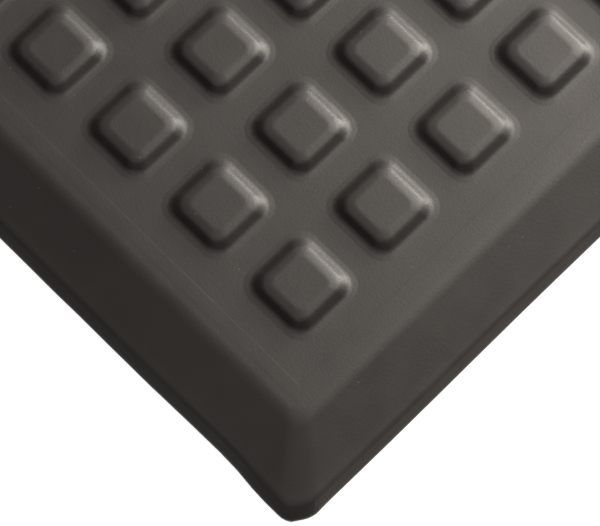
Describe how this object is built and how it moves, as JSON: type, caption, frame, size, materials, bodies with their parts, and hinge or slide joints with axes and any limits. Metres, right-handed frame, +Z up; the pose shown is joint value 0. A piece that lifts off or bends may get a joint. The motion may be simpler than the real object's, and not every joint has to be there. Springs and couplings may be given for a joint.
{
  "type": "anti-fatigue mat",
  "caption": "Rectangular standing mat of dark rubber with a grid of soft raised square pads and ramped edges.",
  "frame": {"origin": "on the floor, under the middle of the mat", "axes": "+X along the mat's length, +Y across its width, +Z up out of the padded face"},
  "size_m": [0.9144, 0.6096, 0.0159],
  "materials": {
    "skin_rubber": "matte, fine moulded grain",
    "core_foam": "closed-cell sponge, dull, skinned",
    "strip_rubber": "dull, plain",
    "base_rubber": "matte, fine cloth impression"
  },
  "bodies": {
    "root": {"wear_surface": "skin_rubber", "foam_core": "core_foam", "edge_strip_front": "strip_rubber", "edge_strip_right": "strip_rubber", "edge_strip_back": "strip_rubber", "edge_strip_left": "strip_rubber", "base_sheet": "base_rubber"}
  },
  "joints": []
}
